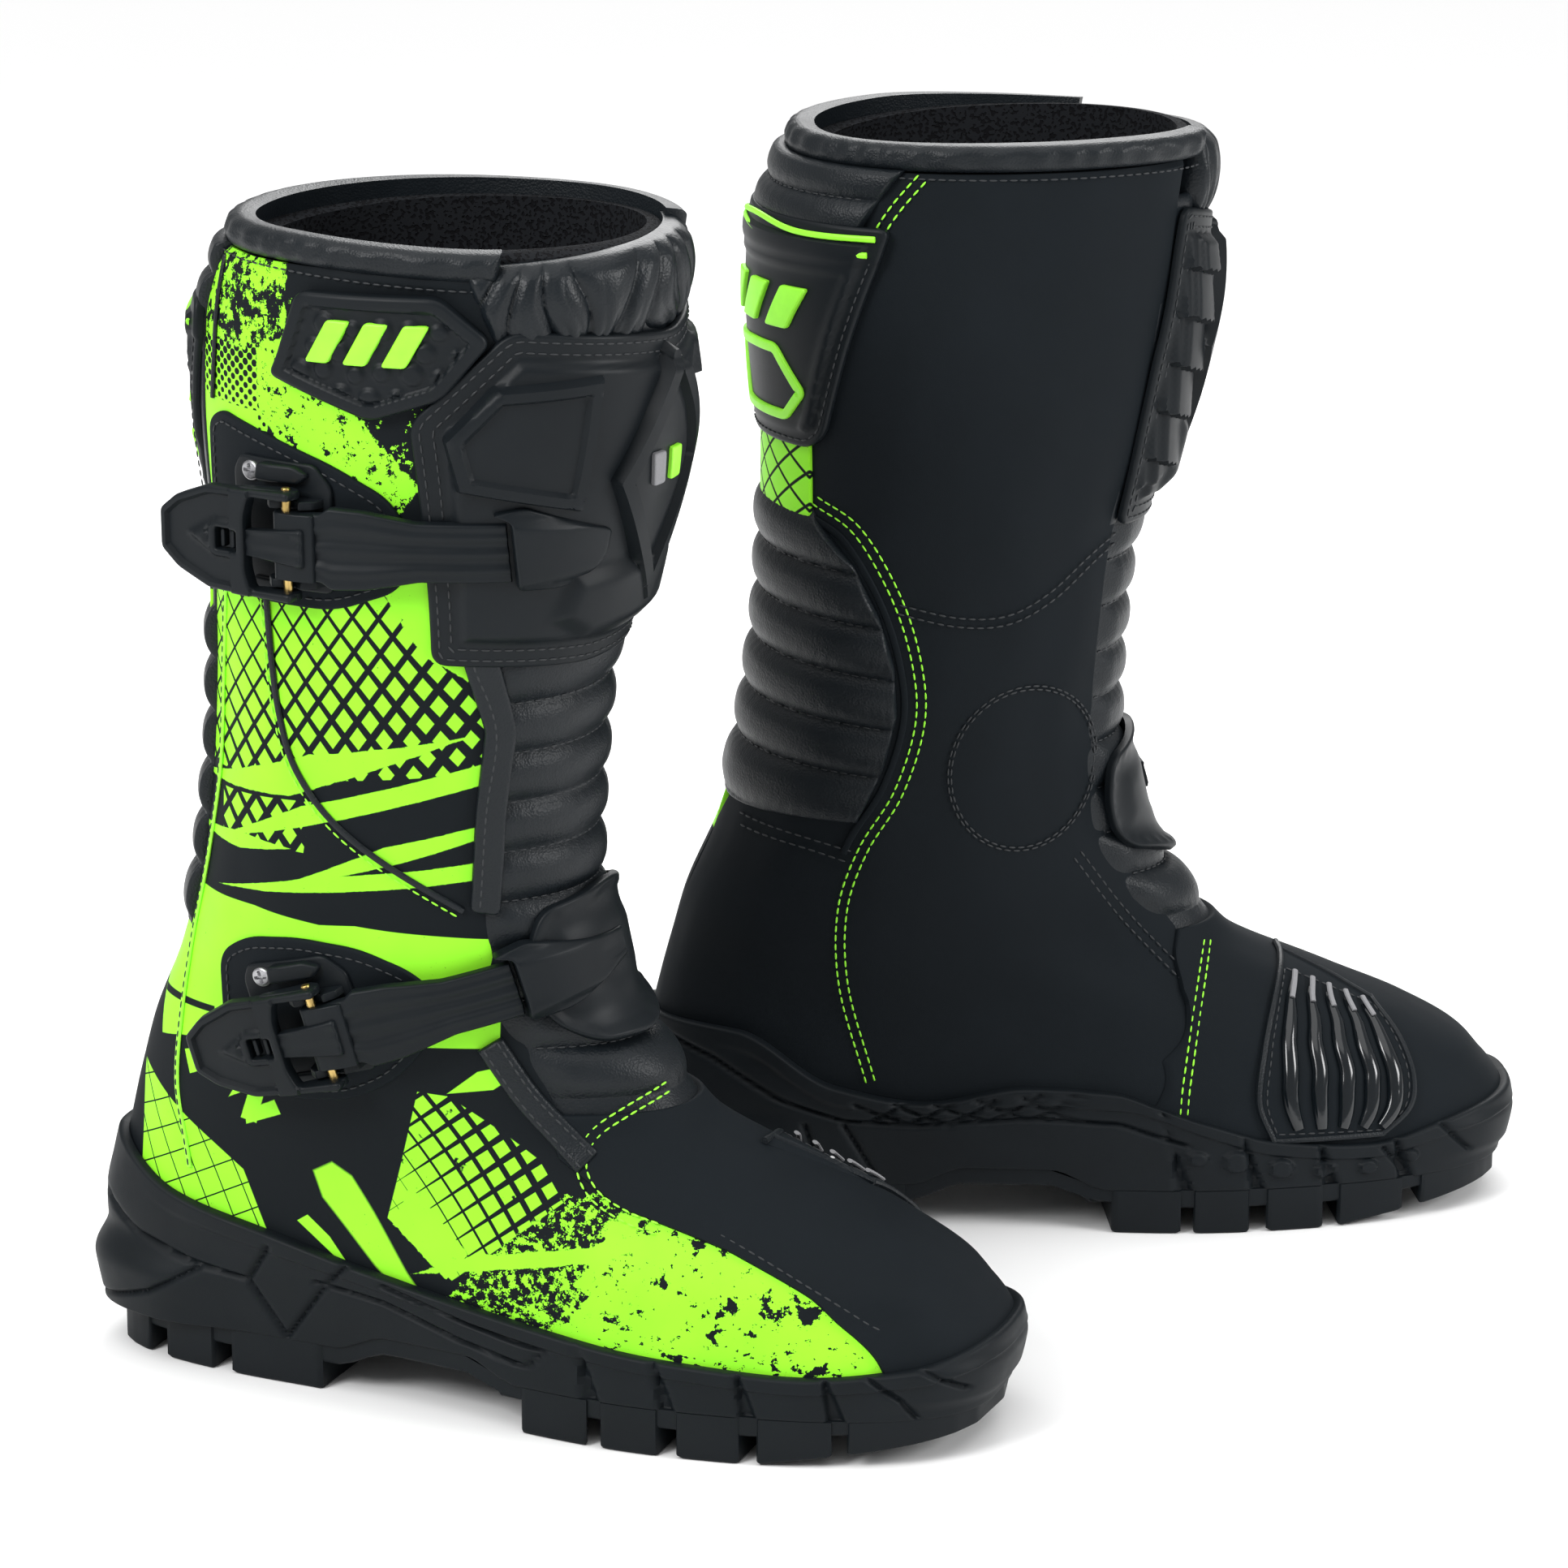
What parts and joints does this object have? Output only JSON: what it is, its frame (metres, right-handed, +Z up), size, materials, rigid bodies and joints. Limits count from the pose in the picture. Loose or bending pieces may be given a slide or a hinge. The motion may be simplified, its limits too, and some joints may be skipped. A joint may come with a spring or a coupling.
{
  "type": "riding boots",
  "caption": "Tall off-road riding boots, right and left, with hinged buckle levers, swinging straps, moulded shin and calf plates, ribbed flex zones and lugged rubber soles.",
  "frame": {"origin": "centre of the pair's outline on the floor, under the soles", "axes": "+X runs to the right along the pair's longest extent, roughly towards the toes; +Y points away from the outer side of the right boot; +Z is up"},
  "size_m": [0.497, 0.339, 0.3977],
  "materials": {
    "sole_rubber": "matt",
    "black_leather": "fine grain, satin",
    "green_print": "printed microfibre, satin",
    "moulded_plastic": "moulded, satin",
    "gloss_rubber": "glossy moulded ribs",
    "lining_mesh": "open mesh",
    "gaiter_fabric": "gathered elastic fabric",
    "board": "pressed fibre",
    "steel": "satin",
    "brass": "satin"
  },
  "bodies": {
    "right_boot": {"right_outsole": "sole_rubber", "right_sole_cup": "sole_rubber", "right_shank": "steel", "right_footbed": "board", "right_liner": "lining_mesh", "right_toe_puff": "board", "right_heel_counter": "board", "right_vamp": "black_leather", "right_lateral_panel": "green_print", "right_medial_panel": "black_leather", "right_front_bellows": "black_leather", "right_rear_flex_panel": "black_leather", "right_tongue": "gaiter_fabric", "right_collar": "gaiter_fabric", "right_shin_plate": "moulded_plastic", "right_instep_guide": "moulded_plastic", "right_cuff_plate": "moulded_plastic", "right_calf_plate": "moulded_plastic", "right_shift_pad": "gloss_rubber", "right_upper_buckle_base": "moulded_plastic", "right_upper_screw": "steel", "right_lower_buckle_base": "moulded_plastic", "right_lower_screw": "steel", "right_upper_strap_guide": "moulded_plastic"},
    "right_upper_strap_body": {"right_upper_strap": "moulded_plastic", "right_upper_pin": "brass"},
    "right_upper_lever_body": {"right_upper_lever": "moulded_plastic"},
    "right_lower_strap_body": {"right_lower_strap": "moulded_plastic", "right_lower_pin": "brass"},
    "right_lower_lever_body": {"right_lower_lever": "moulded_plastic"},
    "left_boot": {"left_outsole": "sole_rubber", "left_sole_cup": "sole_rubber", "left_shank": "steel", "left_footbed": "board", "left_liner": "lining_mesh", "left_toe_puff": "board", "left_heel_counter": "board", "left_vamp": "black_leather", "left_lateral_panel": "green_print", "left_medial_panel": "black_leather", "left_front_bellows": "black_leather", "left_rear_flex_panel": "black_leather", "left_tongue": "gaiter_fabric", "left_collar": "gaiter_fabric", "left_shin_plate": "moulded_plastic", "left_instep_guide": "moulded_plastic", "left_cuff_plate": "moulded_plastic", "left_calf_plate": "moulded_plastic", "left_shift_pad": "gloss_rubber", "left_upper_buckle_base": "moulded_plastic", "left_upper_screw": "steel", "left_lower_buckle_base": "moulded_plastic", "left_lower_screw": "steel", "left_upper_strap_guide": "moulded_plastic"},
    "left_upper_strap_body": {"left_upper_strap": "moulded_plastic", "left_upper_pin": "brass"},
    "left_upper_lever_body": {"left_upper_lever": "moulded_plastic"},
    "left_lower_strap_body": {"left_lower_strap": "moulded_plastic", "left_lower_pin": "brass"},
    "left_lower_lever_body": {"left_lower_lever": "moulded_plastic"}
  },
  "joints": [
    {"name": "left_boot_lift", "type": "slide", "parent": "right_boot", "child": "left_boot", "axis": [0, 0, 1], "range_m": [0, 0.45]},
    {"name": "right_upper_strap_swing", "type": "hinge", "parent": "right_boot", "child": "right_upper_strap_body", "pos_m": [-0.10771, -0.13805, 0.29921], "axis": [-0.0042, -0.0221, 0.9997], "range_deg": [0, 50]},
    {"name": "right_upper_lever_flip", "type": "hinge", "parent": "right_upper_strap_body", "child": "right_upper_lever_body", "pos_m": [-0.17498, -0.12838, 0.2998], "axis": [-0.0042, -0.0221, 0.9997], "range_deg": [0, 110]},
    {"name": "right_lower_strap_swing", "type": "hinge", "parent": "right_boot", "child": "right_lower_strap_body", "pos_m": [-0.10757, -0.12272, 0.14804], "axis": [-0.259, -0.0458, 0.9648], "range_deg": [0, 50]},
    {"name": "right_lower_lever_flip", "type": "hinge", "parent": "right_lower_strap_body", "child": "right_lower_lever_body", "pos_m": [-0.16869, -0.11898, 0.1318], "axis": [-0.259, -0.0458, 0.9648], "range_deg": [0, 110]},
    {"name": "left_upper_strap_swing", "type": "hinge", "parent": "left_boot", "child": "left_upper_strap_body", "pos_m": [0.0881, 0.15644, 0.29921], "axis": [-0.0013, -0.0225, -0.9997], "range_deg": [0, 50]},
    {"name": "left_upper_lever_flip", "type": "hinge", "parent": "left_upper_strap_body", "child": "left_upper_lever_body", "pos_m": [0.02049, 0.16332, 0.2998], "axis": [-0.0013, -0.0225, -0.9997], "range_deg": [0, 110]},
    {"name": "left_lower_strap_swing", "type": "hinge", "parent": "left_boot", "child": "left_lower_strap_body", "pos_m": [0.08453, 0.14153, 0.14804], "axis": [0.2402, -0.1071, -0.9648], "range_deg": [0, 50]},
    {"name": "left_lower_lever_flip", "type": "hinge", "parent": "left_lower_strap_body", "child": "left_lower_lever_body", "pos_m": [0.02432, 0.15269, 0.1318], "axis": [0.2402, -0.1071, -0.9648], "range_deg": [0, 110]}
  ]
}
